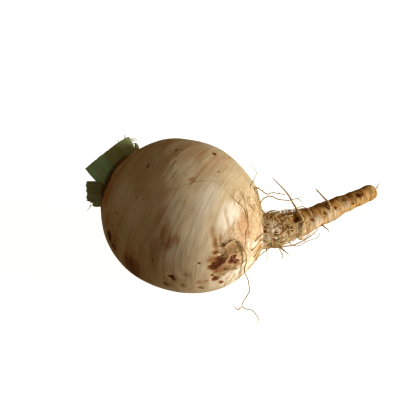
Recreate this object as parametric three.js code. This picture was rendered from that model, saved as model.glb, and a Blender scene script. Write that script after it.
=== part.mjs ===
// A harvested turnip lying on its side, in millimetres, +Z up. The origin is the middle of the
// small flat spot under the bulb, +X runs from the crown to the root tip, and +Y is the far side.
import * as THREE from "three";

// Driving sizes. Distances along the root are counted from the crown to the tip.
const bulbRadius = 49.7;
const bulbMiddle = 54; // the widest ring
const crownLength = 48.5; // widest ring back to where the bulb curve closes at the crown
const crownPower = 2.2; // 2 would be an ellipse, more is fuller
const shoulderLength = 53.8; // widest ring on to where the bulb curve closes on the taproot
const shoulderPower = 2.06;
const crownStart = 3; // top of the low dome that the leaf stalks stand on
const crownRadius = 21;
const domeHeight = 3;
const crownFade = 28; // where the dome has run out into the bulb
const rootEnd = 194.5;
const tipLength = 6; // length of the rounded tip
const flatDepth = 1.8; // how far the resting spot is pressed in
const gap = 0.35; // clearance between separate pieces

// Facets
const sides = 48;
const rowStretches = [[6, 5], [14, 3], [38, 4], [70, 8], [90, 5], [122, 13], [186, 18], [rootEnd, 7]];
const stalkSides = 16;
const stalkRows = 3;
const stepsPerSpan = 3;

// How the root bends and sits, as [distance, value] knots joined by smooth steps
const headings = [[0, -44], [50, -25], [98, -11.5], [126, 19], [148, 29], [rootEnd, 27]];
const sideShifts = [[0, 4], [45, 0]]; // the crown sits off the bulb's middle, to the far side
const lifts = [[0, 3.5], [45, 0]]; // and a little high
const taprootRadii = [[50, 0], [96, 16], [112, 11.3], [130, 8.8], [150, 7.3], [176, 5.7], [rootEnd, 5.3]];

// Leaf stalk stubs. Each covers a span of degrees round the crown at its foot and another at its
// cut end (0 is the top, 90 the near side), with the heights of the cut at its two edges.
const outerStalks = [
  { name: "leaf_stalk_1", foot: [-56, 21], cut: [-60, 9], heights: [15.5, 11.5], color: 0x8f9a5c },
  { name: "leaf_stalk_2", foot: [24, 56], cut: [12, 63], heights: [11, 15.5], color: 0x7d9277 },
  { name: "leaf_stalk_3", foot: [59, 117], cut: [66, 114], heights: [12, 9.5], color: 0x84907a },
  { name: "leaf_stalk_4", foot: [121, 160], cut: [118, 158], heights: [9, 11], color: 0x8f9a5c },
  { name: "leaf_stalk_5", foot: [163, 205], cut: [162, 207], heights: [12, 10], color: 0x84907a },
  { name: "leaf_stalk_6", foot: [208, 252], cut: [211, 250], heights: [10, 12.5], color: 0x7d9277 },
  { name: "leaf_stalk_7", foot: [255, 301], cut: [254, 297], heights: [13, 11], color: 0x8f9a5c },
];
const innerStalks = [
  { name: "young_stalk_1", foot: [-20, 80], cut: [-16, 76], heights: [8, 9], color: 0x9aa66a },
  { name: "young_stalk_2", foot: [100, 200], cut: [104, 196], heights: [8.5, 7], color: 0x9aa66a },
  { name: "young_stalk_3", foot: [220, 320], cut: [224, 316], heights: [7.5, 8.5], color: 0x9aa66a },
];
const outerRing = { radius: 18, thickness: 4.4, lean: 7 };
const innerRing = { radius: 7.5, thickness: 3.4, lean: 1.5 };

// Side roots that lie on the skin: [distance, degrees round the root] pairs
const lyingRoots = [
  {
    name: "hair_over_bulb",
    radius: 0.35,
    route: [[54, 28], [60, 21], [68, 12], [76, 8], [85, 10], [93, 17], [97, 24], [99, 34]],
  },
  {
    name: "hair_down_shoulder",
    radius: 0.35,
    lift: 2,
    route: [[92, 2], [96, 9], [99, 19], [101, 36], [101, 54], [100, 70]],
  },
  {
    name: "neck_root_1",
    radius: 0.5,
    lift: 1.2,
    route: [[104, 60], [109, 50], [115, 62], [121, 48], [127, 58]],
  },
  {
    name: "neck_root_2",
    radius: 0.5,
    lift: 1.2,
    route: [[104, 92], [110, 80], [117, 94], [123, 80], [131, 90]],
  },
  {
    name: "neck_root_3",
    radius: 0.45,
    lift: 2.6,
    route: [[103, 74], [108, 66], [113, 78], [119, 70], [124, 84]],
  },
  {
    name: "neck_root_4",
    radius: 0.45,
    lift: 1.2,
    route: [[107, 24], [113, 36], [120, 26], [127, 36], [134, 28]],
  },
  { name: "neck_root_5", radius: 0.5, lift: 1.2, route: [[104, 205], [110, 220], [118, 208], [127, 224]] },
  { name: "neck_root_6", radius: 0.45, lift: 1.2, route: [[108, 275], [115, 290], [123, 278], [132, 286]] },
  { name: "neck_root_7", radius: 0.45, lift: 1.2, route: [[106, 140], [113, 152], [121, 140], [129, 150]] },
];

// Side roots that stand or hang free: [x, y, z] points
const freeRoots = [
  {
    name: "trailing_root",
    radius: 0.5,
    route: [
      [25.6, -45, 69.2], [29.6, -42.8, 70.6], [33.6, -41, 69.4], [37, -41.6, 64], [39, -42.2, 57.5],
      [39.4, -43, 51], [38.4, -43.6, 44], [40.5, -41, 33], [42.3, -38, 23], [43, -35.5, 10],
      [39.6, -36.9, 1.6], [38.4, -39.9, 0], [41, -42.3, 0], [44.6, -43.1, 0], [48.6, -50.9, 0],
      [46.6, -55.9, 0], [44, -58.3, 0],
    ],
  },
  {
    name: "trailing_root_fork",
    radius: 0.4,
    route: [[37, -41.3, 0], [35.8, -42.5, 0], [33.6, -40.5, 0], [32.6, -37.3, 0]],
  },
  {
    name: "curled_hair",
    radius: 0.35,
    route: [[44, -2.5, 78.6], [47.3, 2.8, 82.7], [45.5, 6.1, 85.8], [43, 8, 87.5]],
  },
  {
    name: "wavy_root_1",
    radius: 0.5,
    route: [
      [47, -1.9, 74.6], [51.2, -3.3, 72.8], [54.3, -4.8, 71.4],
      [58, -4.2, 72], [62, -4.5, 71.7], [67, -5.4, 71],
    ],
  },
  {
    name: "wavy_root_2",
    radius: 0.5,
    route: [
      [50.2, -8, 67.4], [54.4, -4.4, 68.8], [57, -4.4, 69], [61.7, -6.4, 68],
      [67, -7, 67.6], [74, -6.6, 68.2], [78, -9.2, 66],
    ],
  },
  {
    name: "stiff_root",
    radius: 0.8,
    route: [[77, -13.4, 56.4], [74, -8.8, 59.9], [71.4, -5.4, 63], [67.7, -0.6, 67.3], [57.7, 7.7, 74.7]],
  },
  {
    name: "short_stub_root",
    radius: 0.7,
    route: [[96.4, -2.8, 55.2], [95.2, 0, 57.2], [91.5, 3.5, 60], [87, 7, 63.3]],
  },
  {
    name: "under_root_1",
    radius: 0.5,
    route: [
      [57, -27.4, 46.2], [60.4, -28, 46], [66, -27.6, 47], [69.4, -27.4, 47],
      [74.4, -25.8, 48], [80.3, -23.6, 50.2], [87.4, -19.6, 54.2],
    ],
  },
  {
    name: "under_root_2",
    radius: 0.4,
    route: [
      [69, -23.8, 45], [72.9, -25.2, 43.6], [80.7, -22.8, 46.2], [86.2, -21.6, 47.4], [89, -18.4, 50.6],
    ],
  },
  {
    name: "under_root_3",
    radius: 0.5,
    route: [[63.2, -26.6, 43.6], [64.8, -28.4, 43.4], [67.4, -30.5, 42]],
  },
  { name: "under_root_4", radius: 0.4, route: [[62.6, -25.6, 41], [63.6, -28.6, 40.2], [64.2, -31, 38]] },
  { name: "under_root_5", radius: 0.4, route: [[53.6, -27.4, 44], [53.9, -30.4, 41], [52.6, -33, 38.5]] },
  {
    name: "under_root_6",
    radius: 0.5,
    route: [[92.3, -11.2, 46.2], [94.9, -12.8, 44.8], [95.6, -13.8, 43.4]],
  },
];

// A value between [distance, value] knots, joined by smooth steps
function between(knots, distance) {
  const next = knots.findIndex(([at]) => at >= distance);
  if (next === 0) return knots[0][1];
  if (next < 0) return knots[knots.length - 1][1];
  const [from, low] = knots[next - 1];
  const [to, high] = knots[next];
  return low + (high - low) * THREE.MathUtils.smoothstep(distance, from, to);
}

// The line through the middle of the root, walked in short level steps
const walkStep = 0.5;
function walkMiddle() {
  const points = [new THREE.Vector3()];
  for (let distance = 0; distance < rootEnd; distance += walkStep) {
    const heading = THREE.MathUtils.degToRad(between(headings, distance));
    const stride = new THREE.Vector3(Math.cos(heading), Math.sin(heading), 0).multiplyScalar(walkStep);
    points.push(points[points.length - 1].clone().add(stride));
  }
  const middle = points[bulbMiddle / walkStep].clone();
  const height = bulbRadius - flatDepth;
  return points.map((point) => point.sub(middle).setZ(height));
}
const middleLine = walkMiddle();

// A place on the root from its distance, and offsets upwards and towards the near side
function place(distance, up, near) {
  const index = THREE.MathUtils.clamp(Math.floor(distance / walkStep), 0, middleLine.length - 2);
  const point = middleLine[index].clone();
  point.lerp(middleLine[index + 1], distance / walkStep - index);
  const heading = THREE.MathUtils.degToRad(between(headings, distance));
  const side = near - between(sideShifts, distance);
  const lift = up + between(lifts, distance);
  return point.add(new THREE.Vector3(side * Math.sin(heading), -side * Math.cos(heading), lift));
}

function roundEnd(depth, length) {
  return depth < length ? Math.sqrt(1 - (1 - depth / length) ** 2) : 1;
}

// Radius of the root: the crown dome, the bulb and the taproot blended into one outline
function rootRadius(distance) {
  const length = distance < bulbMiddle ? crownLength : shoulderLength;
  const power = distance < bulbMiddle ? crownPower : shoulderPower;
  const fraction = Math.min(1, Math.abs(distance - bulbMiddle) / length);
  const bulb = bulbRadius * (1 - fraction ** power) ** (1 / power);
  const taproot = between(taprootRadii, distance) * roundEnd(rootEnd - distance, tipLength);
  const dome = crownRadius * roundEnd(distance - crownStart, domeHeight);
  const crown = dome * (1 - THREE.MathUtils.smoothstep(distance, crownStart + domeHeight, crownFade));
  return Math.cbrt(bulb ** 3 + taproot ** 3 + crown ** 3);
}

// A place beside the root's surface: degrees round it (0 is the top, 90 the near side)
function besideRoot(distance, degrees, lift) {
  const angle = THREE.MathUtils.degToRad(degrees);
  const away = rootRadius(distance) + lift;
  return place(distance, away * Math.cos(angle), away * Math.sin(angle));
}

// Moves each vertex of a geometry to where the rule says
function reshape(geometry, rule) {
  const { position } = geometry.attributes;
  for (let i = 0; i < position.count; i++) {
    const moved = rule(position.getX(i), position.getY(i), position.getZ(i));
    position.setXYZ(i, moved.x, moved.y, moved.z);
  }
  geometry.computeVertexNormals();
  return geometry;
}

// The bulb and taproot: a turned outline, bent along the middle line, with a flat resting spot
function rootGeometry() {
  const outline = [new THREE.Vector2(0, crownStart)];
  let from = crownStart;
  for (const [to, rows] of rowStretches) {
    for (let row = 1; row <= rows; row++) {
      const distance = from + ((to - from) * row) / rows;
      outline.push(new THREE.Vector2(to === rootEnd && row === rows ? 0 : rootRadius(distance), distance));
    }
    from = to;
  }
  return reshape(new THREE.LatheGeometry(outline, sides), (near, distance, up) => {
    const point = place(distance, up, near);
    return point.setZ(Math.max(0, point.z));
  });
}

// The distance of the crown's dome from the crown, at a radius from its middle
function domeDistance(radius) {
  const fraction = Math.min(1, radius / crownRadius);
  return crownStart + domeHeight * (1 - Math.sqrt(1 - fraction ** 2));
}

// One stalk stub: a rounded strap that stands on the dome, follows its ring and leans outwards
function stalkGeometry({ foot, cut, heights }, { radius, thickness, lean }) {
  const { lerp, degToRad } = THREE.MathUtils;
  return reshape(new THREE.CylinderGeometry(1, 1, 1, stalkSides, stalkRows), (x, y, z) => {
    const rise = y + 0.5;
    const across = (1 - x) / 2;
    const footAngle = lerp(foot[0], foot[1], across);
    const angle = degToRad(lerp(footAngle, lerp(cut[0], cut[1], across), rise));
    const footRadius = radius + (z * thickness) / 2;
    const away = footRadius + lean * rise;
    const distance = domeDistance(footRadius) - gap - rise * lerp(heights[0], heights[1], across);
    return place(distance, away * Math.cos(angle), away * Math.sin(angle));
  });
}

// A side root: a thin tube through its points, never lower than the surface the turnip lies on
function sideRootGeometry(points, radius) {
  points.forEach((point) => point.setZ(Math.max(point.z, radius + gap)));
  const section = new THREE.Shape().absarc(0, 0, radius, 0, 2 * Math.PI);
  return new THREE.ExtrudeGeometry(section, {
    extrudePath: new THREE.CatmullRomCurve3(points, false, "centripetal"),
    steps: stepsPerSpan * (points.length - 1),
    curveSegments: 4,
    bevelEnabled: false,
  });
}

const sideRootColor = 0xc9a468;
const turnip = new THREE.Group();

function add(name, geometry, color, roughness) {
  const mesh = new THREE.Mesh(geometry, new THREE.MeshStandardMaterial({ color, roughness, metalness: 0 }));
  mesh.name = name;
  turnip.add(mesh);
}

add("turnip_root", rootGeometry(), 0xd9c7a3, 0.6);
for (const stalk of outerStalks) add(stalk.name, stalkGeometry(stalk, outerRing), stalk.color, 0.55);
for (const stalk of innerStalks) add(stalk.name, stalkGeometry(stalk, innerRing), stalk.color, 0.55);
for (const { name, radius, lift = 1, route } of lyingRoots) {
  const points = route.map(([distance, degrees]) => besideRoot(distance, degrees, lift));
  add(name, sideRootGeometry(points, radius), sideRootColor, 0.8);
}
for (const { name, radius, route } of freeRoots) {
  const points = route.map((point) => new THREE.Vector3(...point));
  add(name, sideRootGeometry(points, radius), sideRootColor, 0.8);
}

export default turnip;
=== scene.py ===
# A harvested turnip lying on its side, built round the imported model
import math
import random

import bmesh
import bpy
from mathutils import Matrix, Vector, noise


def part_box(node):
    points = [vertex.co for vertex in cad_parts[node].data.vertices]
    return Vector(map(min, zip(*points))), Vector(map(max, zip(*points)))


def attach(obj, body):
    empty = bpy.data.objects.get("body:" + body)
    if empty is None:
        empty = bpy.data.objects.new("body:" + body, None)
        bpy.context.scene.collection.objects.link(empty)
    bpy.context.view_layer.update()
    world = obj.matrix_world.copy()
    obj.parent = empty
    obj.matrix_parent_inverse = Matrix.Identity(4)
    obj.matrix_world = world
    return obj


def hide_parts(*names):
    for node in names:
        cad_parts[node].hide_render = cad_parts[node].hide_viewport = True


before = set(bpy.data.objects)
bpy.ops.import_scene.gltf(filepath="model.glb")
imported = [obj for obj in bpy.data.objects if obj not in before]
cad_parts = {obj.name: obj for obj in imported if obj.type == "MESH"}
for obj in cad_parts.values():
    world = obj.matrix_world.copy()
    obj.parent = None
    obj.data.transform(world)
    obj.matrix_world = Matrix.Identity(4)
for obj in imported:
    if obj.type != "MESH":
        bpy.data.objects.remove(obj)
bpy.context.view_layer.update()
mm = 0.001
random.seed(7)
noise.seed_set(7)  # noise_vector differs on each run without it
rootLow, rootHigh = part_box("turnip_root")

# the root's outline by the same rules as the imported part, in millimetres
shape = {
    "bulbRadius": 49.7,
    "bulbMiddle": 54,  # the widest ring
    "crownLength": 48.5,
    "crownPower": 2.2,
    "shoulderLength": 53.8,
    "shoulderPower": 2.06,
    "crownStart": 3,  # top of the low dome that the stalks stand on
    "crownRadius": 21,
    "domeHeight": 3,
    "crownFade": 28,
    "rootEnd": 194.5,
    "tipLength": 6,
    "headings": [(0, -44), (50, -25), (98, -11.5), (126, 19), (148, 29), (194.5, 27)],
    "sideShifts": [(0, 4), (45, 0)],
    "lifts": [(0, 3.5), (45, 0)],
    "taprootRadii": [(50, 0), (96, 16), (112, 11.3), (130, 8.8), (150, 7.3), (176, 5.7), (194.5, 5.3)],
    "walkStep": 0.5,
}
shape["middleHeight"] = (rootHigh.z - rootLow.z) / mm - shape["bulbRadius"]  # the flat spot takes the rest


def smooth(value, low, high):
    t = min(1, max(0, (value - low) / (high - low)))
    return t * t * (3 - 2 * t)


def between(knots, distance):
    if distance <= knots[0][0]:
        return knots[0][1]
    for (start, low), (end, high) in zip(knots, knots[1:]):
        if distance <= end:
            return low + (high - low) * smooth(distance, start, end)
    return knots[-1][1]


def walkMiddle():  # the line through the middle of the root, in short level steps
    step = shape["walkStep"]
    points = [Vector((0, 0, 0))]
    for i in range(int(shape["rootEnd"] / step)):
        heading = math.radians(between(shape["headings"], i * step))
        points.append(points[-1] + Vector((math.cos(heading), math.sin(heading), 0)) * step)
    middle = points[int(shape["bulbMiddle"] / step)]
    return [point - middle + Vector((0, 0, shape["middleHeight"])) for point in points]


middleLine = walkMiddle()


def place(distance, up, near):  # straight root to bent root, in millimetres
    along = distance / shape["walkStep"]
    index = min(max(int(math.floor(along)), 0), len(middleLine) - 2)
    point = middleLine[index].lerp(middleLine[index + 1], along - index)
    heading = math.radians(between(shape["headings"], distance))
    side = near - between(shape["sideShifts"], distance)
    lift = up + between(shape["lifts"], distance)
    return point + Vector((side * math.sin(heading), -side * math.cos(heading), lift))


def roundEnd(depth, length):
    return math.sqrt(max(0, 1 - (1 - depth / length) ** 2)) if depth < length else 1


def rootRadius(distance):
    first = distance < shape["bulbMiddle"]
    length = shape["crownLength"] if first else shape["shoulderLength"]
    power = shape["crownPower"] if first else shape["shoulderPower"]
    fraction = min(1, abs(distance - shape["bulbMiddle"]) / length)
    bulb = shape["bulbRadius"] * (1 - fraction ** power) ** (1 / power)
    taproot = between(shape["taprootRadii"], distance)
    taproot *= roundEnd(shape["rootEnd"] - distance, shape["tipLength"])
    rise = max(0, distance - shape["crownStart"])
    crown = shape["crownRadius"] * roundEnd(rise, shape["domeHeight"])
    crown *= 1 - smooth(distance, shape["crownStart"] + shape["domeHeight"], shape["crownFade"])
    return (bulb ** 3 + taproot ** 3 + crown ** 3) ** (1 / 3)


def besideRoot(distance, degrees, lift=0.0):  # degrees round the root: 0 is the top, 90 the near side
    angle = math.radians(degrees)
    away = rootRadius(distance) + lift
    return place(distance, away * math.cos(angle), away * math.sin(angle))


def straightSpot(distance, degrees):  # the same place before the bend
    angle = math.radians(degrees)
    away = rootRadius(distance)
    return Vector((distance, -away * math.sin(angle), away * math.cos(angle)))


def linear(hexColor):
    values = [int(hexColor[i:i + 2], 16) / 255 for i in (1, 3, 5)]
    return [v / 12.92 if v <= 0.04045 else ((v + 0.055) / 1.055) ** 2.4 for v in values] + [1]


def addNode(tree, kind, settings, inputs, output=0):
    node = tree.nodes.new("ShaderNode" + kind)
    for name, value in settings.items():
        setattr(node, name, value)
    for name, value in inputs.items():
        if isinstance(value, bpy.types.NodeSocket):
            tree.links.new(value, node.inputs[name])
        else:
            node.inputs[name].default_value = linear(value) if isinstance(value, str) else value
    return node.outputs[output] if len(node.outputs) else node


softStep = {"interpolation_type": "SMOOTHSTEP"}
colourMix = {"data_type": "RGBA"}  # its sockets: 0 share, 6 and 7 colours, output 2
times = {"operation": "MULTIPLY"}
plus = {"operation": "ADD"}
timesThenPlus = {"operation": "MULTIPLY_ADD"}


# patterns: name to size in mm, stretch along y and z, shift, detail, roughness
# layers: pattern, its low and high, the greatest share, colour, and a mask's name if it has one
def paintLayers(tree, vector, base, patterns, layers, masks):
    made = {}
    for name, (size, stretch, shift, detail, roughness) in patterns.items():
        scaled = addNode(tree, "Mapping", {}, {
            "Vector": vector, "Location": (shift, shift * 0.7, -shift),
            "Scale": (1 / size, 1 / (size * stretch[0]), 1 / (size * stretch[1]))})
        made[name] = addNode(tree, "TexNoise", {}, {
            "Vector": scaled, "Scale": 1.0, "Detail": detail, "Roughness": roughness})
    colour = base
    for pattern, low, high, most, tone, mask in layers:
        source = made[pattern] if pattern in made else masks[pattern]
        share = addNode(tree, "MapRange", softStep, {0: source, 1: low, 2: high, 4: most})
        if mask:
            share = addNode(tree, "Math", times, {0: share, 1: masks[mask]})
        colour = addNode(tree, "Mix", colourMix, {0: share, 6: colour, 7: tone}, 2)
    return colour, made


def newMaterial(name):
    material = bpy.data.materials.new(name)
    material.use_nodes = True
    material.node_tree.nodes.clear()
    return material, material.node_tree


def finishPiece(name, bm, material, stands=(), spots=None, spotName="spots"):
    bmesh.ops.recalc_face_normals(bm, faces=bm.faces)
    mesh = bpy.data.meshes.new(name)
    bm.to_mesh(mesh)
    bm.free()
    if spots:
        attribute = mesh.attributes.new(spotName, "FLOAT_VECTOR", "POINT")
        attribute.data.foreach_set("vector", [c for spot in spots for c in spot])
    mesh.polygons.foreach_set("use_smooth", [True] * len(mesh.polygons))
    piece = bpy.data.objects.new(name, mesh)
    bpy.context.scene.collection.objects.link(piece)
    mesh.materials.append(material)
    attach(piece, "root")
    if stands:
        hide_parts(*stands)
    return piece


# a long lens looking down at the near side
view = {"lens": 85, "height": 48, "away": 619.6, "aimRight": 11.9, "aimUp": 9.7}


def makeCamera():
    tilt = math.radians(view["height"])
    target = Vector((0, 0, shape["middleHeight"])) * mm
    spot = target + Vector((0, -math.cos(tilt), math.sin(tilt))) * view["away"] * mm
    aim = target + Vector((view["aimRight"], 0, 0)) * mm
    aim += Vector((0, math.sin(tilt), math.cos(tilt))) * view["aimUp"] * mm
    data = bpy.data.cameras.new("camera")
    data.lens = view["lens"]
    data.sensor_width = 36
    data.clip_start = 0.01
    camera = bpy.data.objects.new("camera", data)
    camera.location = spot
    camera.rotation_euler = (aim - spot).to_track_quat("-Z", "Y").to_euler()
    bpy.context.scene.collection.objects.link(camera)
    bpy.context.scene.camera = camera


makeCamera()
print("camera placed")

body = {
    "sides": 240,
    "rows": [(14, 26), (96, 150), (118, 60), (188, 146), (194.5, 18)],  # up to a distance, how many rows
    "unevenness": 0.55,  # broad swell of the bulb, mm
    "streakTilt": 0.19,  # how far the skin's rings lean on the bulb
    "taprootRings": 0.42,  # depth of the taproot's wrinkles, mm
    "taprootLumps": 0.95,
    "neckFolds": 0.35,
}
# marks in the skin: distance, degrees, size, stretch round the root, depth, and how dark, rusty or pale
marks = [
    # the long wound low on the shoulder, its holes and the worn skin round it
    (84.2, 80, 2.7, 1, 0.9, 1, 1, 0), (85.8, 77, 3.0, 1, 1.2, 1, 1, 0), (87.4, 74, 3.0, 1, 1.2, 1, 1, 0),
    (89, 70.5, 2.4, 1, 0.9, 0.95, 1, 0), (86, 71, 1.6, 1, 0.5, 0.7, 1, 0),
    (93, 76.5, 2.2, 1, 1.2, 1, 1, 0), (94.2, 72.5, 2.0, 1, 1.1, 1, 1, 0),
    (95.7, 80, 1.9, 1, 1.2, 1, 1, 0), (85.4, 95, 2.4, 1, 0.9, 1, 1, 0),
    (84, 89, 1.1, 1, 0.4, 0.6, 0.9, 0), (84, 72, 3.0, 1, 0.2, 0.25, 0.9, 0),
    (85.2, 65, 2.2, 1, 0.3, 0.4, 0.95, 0), (86.5, 84, 2.8, 1, 0.3, 0.2, 0.95, 0),
    (89, 83, 3.0, 1, 0.3, 0.1, 0.95, 0), (91.5, 78, 2.8, 1, 0.3, 0.1, 0.8, 0),
    (90.5, 66, 3.0, 1, 0.3, 0.15, 1, 0), (93.5, 60, 2.8, 1, 0.2, 0.1, 1, 0),
    (96, 64, 3.0, 1, 0.3, 0.1, 1, 0), (97.5, 72, 2.4, 1, 0.3, 0.1, 0.7, 0),
    (97, 84, 2.2, 1, 0.2, 0.1, 0.7, 0), (91.5, 85, 2.2, 1, 0.3, 0.3, 0.8, 0),
    (88, 89, 2.4, 1, 0.1, 0, 0.6, 0), (95, 88, 1.2, 1, 0.2, 0.5, 0.6, 0),
    (93.5, 67, 1.2, 1, 0.5, 0.5, 0.8, 0),
    # scabs underneath it
    (65, 91.5, 1.7, 1, 0.5, 0.9, 1, 0), (66.3, 94.5, 1.2, 1, 0.4, 0.8, 1, 0),
    (62.5, 104, 2.0, 2.2, 0.2, 0.4, 0.9, 0), (70, 102, 1.7, 2, 0.2, 0.2, 0.85, 0),
    (72, 88, 2.2, 1, 0.3, 0.3, 0.45, 0), (78, 97, 1.8, 1.5, 0.1, 0.1, 0.8, 0),
    (81, 96.5, 1.6, 1.3, 0.1, 0.2, 0.8, 0), (78, 75, 0.8, 1, 0.2, 0.9, 0.9, 0),
    (76.5, 58, 0.6, 1, 0.1, 0.4, 0.5, 0), (75.5, 40, 0.6, 1, 0.1, 0.4, 0.5, 0),
    (79, 106, 1.8, 1.6, 0.2, 0.4, 0.8, 0), (88, 104, 1.2, 2, 0.3, 0.5, 0.8, 0),
    (91, 100, 0.9, 1, 0.2, 0.3, 0.7, 0),
    # rust coloured stains down the middle
    (64.7, 12, 1.7, 1.3, 0.1, 0.1, 0.85, 0), (50, 3, 1.4, 1.6, 0.2, 0.1, 0.7, 0),
    (51.3, 4.5, 0.6, 3.6, -0.2, 0, 0, 1), (46.5, 350, 0.7, 2, 0.2, 0.7, 0.9, 0),
    (36, 12, 0.7, 3, 0.1, 0.6, 0.8, 0), (69.6, 336, 1.9, 1.1, 0.3, 0.9, 1, 0),
    (79, 322, 1.1, 1, 0.3, 0.8, 1, 0), (77.5, 356, 0.7, 1, 0.2, 0.8, 0.8, 0),
    (75, 330, 3, 2, 0.1, 0, 0.4, 0), (76, 350, 2.2, 2.6, 0.1, 0, 0.4, 0),
    # soil on the crown side and the flat dent there
    (27, 84, 3.0, 1.6, 0.9, 0.7, 1, 0), (30, 90, 2.4, 1.6, 0.4, 0.6, 1, 0),
    (30, 84, 6.5, 1.6, 0, 0.1, 0.8, 0), (37, 88, 4.4, 1, -0.7, 0, 0.4, 0),
    (42, 99, 8, 1.9, 0, 0.3, 1, 0), (24, 70, 4, 1.8, 0, 0.1, 0.65, 0), (19, 50, 3.4, 3, 0, 0.1, 0.75, 0),
    (19, 24, 3.4, 3, 0, 0.1, 0.7, 0), (50, 104, 6, 1.7, 0, 0.15, 0.6, 0),
    (30, 57, 0.8, 1, 0.2, 0.8, 0.8, 0), (32, 61, 0.6, 1, 0.2, 0.8, 0.8, 0),
    (34, 64, 0.7, 1, 0.2, 0.7, 0.8, 0), (29, 69, 0.6, 1, 0.2, 0.7, 0.7, 0),
    (55.5, 79, 0.6, 1, 0.1, 0.6, 0.7, 0),
    # the crown's scars and its hole, and a dark ring round the stalk feet that is partly scars and partly
    # painted shade between the stalks
    (11, 40, 2.3, 1, 2.2, 1, 1, 0), (10.5, 32, 1.6, 1, 1.2, 0.9, 1, 0),
    (10, 52, 2.4, 2.6, 0.4, 0.8, 1, 0), (10, 70, 2.4, 2.4, 0.4, 0.7, 1, 0),
    (13, 46, 2.0, 2.4, 0.2, 0.5, 1, 0), (13, 62, 1.8, 2.4, 0.2, 0.5, 0.9, 0),
    (12, 10, 1.6, 3, 0.3, 0.5, 0.9, 0), (12, 345, 1.4, 3, 0.3, 0.5, 0.9, 0),
    # the dark ring round the stalk feet: scars and painted shade in the gaps between the stalks
    (11, 95, 2.2, 3, 0.4, 0.8, 1, 0), (12, 150, 2, 3, 0.5, 0.6, 1, 0), (12, 220, 2, 3, 0.5, 0.6, 1, 0),
    (12, 290, 2, 3, 0.5, 0.6, 1, 0),
    # rust colour along the top of the taproot, painted shade on its top side
    (130, 350, 7, 1, 0, 0.1, 0.75, 0), (144, 345, 6, 1, 0, 0.1, 0.75, 0),
    (158, 340, 6, 1, 0, 0.1, 0.75, 0), (172, 345, 5, 1, 0, 0.1, 0.7, 0),
    (184, 350, 5, 1, 0, 0.1, 0.6, 0), (118, 345, 6, 1, 0, 0.2, 0.8, 0),
    # hollows and worn spots of the neck and taproot
    (105, 55, 1.5, 1.3, 0.4, 0.1, 0.9, 0), (106.5, 85, 1.4, 1.3, 0.4, 0.1, 0.9, 0),
    (99, 66, 1.2, 1.6, 0.3, 0.1, 0.9, 0), (98, 45, 1.0, 2.6, 0.2, 0, 0.7, 0),
    (97.5, 38, 1.0, 2.4, 0.2, 0, 0.6, 0), (110, 27, 1.7, 1, 0.7, 0.7, 1, 0),
    (114, 56, 1.4, 2, 0.8, 0.85, 1, 0), (109, 42, 1.2, 1.6, 0.5, 0.5, 1, 0),
    (113, 74, 1.1, 2, 0.6, 0.6, 1, 0), (120, 6, 1.6, 1, 0.6, 0.6, 0.9, 0),
    (128, 22, 1.6, 1, 1.0, 0.8, 0.9, 0), (130, 16, 1.4, 1, 0.7, 0.8, 0.7, 0),
    (124, 52, 1.2, 1.6, 0.7, 0.75, 1, 0), (119, 38, 1.2, 1.3, 0.5, 0.5, 0.9, 0),
    (139, 40, 1.4, 1.3, 0.7, 0.6, 0.8, 0), (149, 36, 1.3, 1, 0.7, 0.6, 1, 0),
    (154, 350, 1.5, 1, 0.7, 0.9, 0.8, 0), (158, 35, 1.5, 1, 0.8, 0.85, 1, 0),
    (172, 58, 1.2, 1, 0.6, 0.6, 0.9, 0), (178, 22, 2.3, 1, 0.6, 1, 0.1, 0),
    (180, 30, 1.5, 1, 0.3, 0.8, 0.1, 0), (166, 10, 1.1, 1.4, 0.5, 0.5, 0.7, 0),
    (124, 98, 1.2, 1, 0.5, 0.3, 0.8, 0), (146, 96, 1.2, 1, 0.5, 0.3, 0.7, 0),
    # the side that faces away
    (88, 190, 2.4, 1, 1.0, 0.9, 1, 0), (84, 196, 4.5, 1.4, 0.2, 0, 0.7, 0),
    (70, 250, 2.0, 1, 0.6, 0.8, 1, 0), (40, 240, 1.2, 2, 0.2, 0.6, 0.8, 0),
    (58, 170, 7, 1, 0, 0.1, 0.4, 0),
]
# flat stains of rust: distance, degrees, size, stretch round the root, how rusty
rustStains = [
    (66, 94, 4.4, 1, 0.45), (74, 96, 4.5, 1, 0.35), (97.5, 34, 2.8, 2.8, 0.8),
    (98.5, 50, 2.6, 2.8, 0.75), (94, 40, 2, 2.8, 0.5), (54, 30, 3.4, 2.2, 0.6), (56, 42, 3.4, 2.6, 0.65),
    (60, 54, 3.0, 2.4, 0.75), (62, 62, 2.8, 2, 0.85), (66, 58, 2.2, 2, 0.7), (55, 68, 2.6, 3.4, 0.55),
    (48, 76, 2.6, 3.4, 0.4), (62, 30, 2.5, 3, 0.25), (70, 334, 4.5, 1.2, 0.5), (40, 335, 9, 1.8, 0.45),
    (60, 343, 7, 2, 0.6), (44, 5, 5, 3, 0.35), (70, 348, 10, 1.8, 0.45), (50, 348, 10, 1.8, 0.45),
    (30, 10, 5, 3, 0.4), (76, 340, 7, 2, 0.5), (21, 350, 4, 3, 0.6), (62, 246, 6, 2, 0.4),
    (45, 290, 6, 2, 0.4),
]
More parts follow.
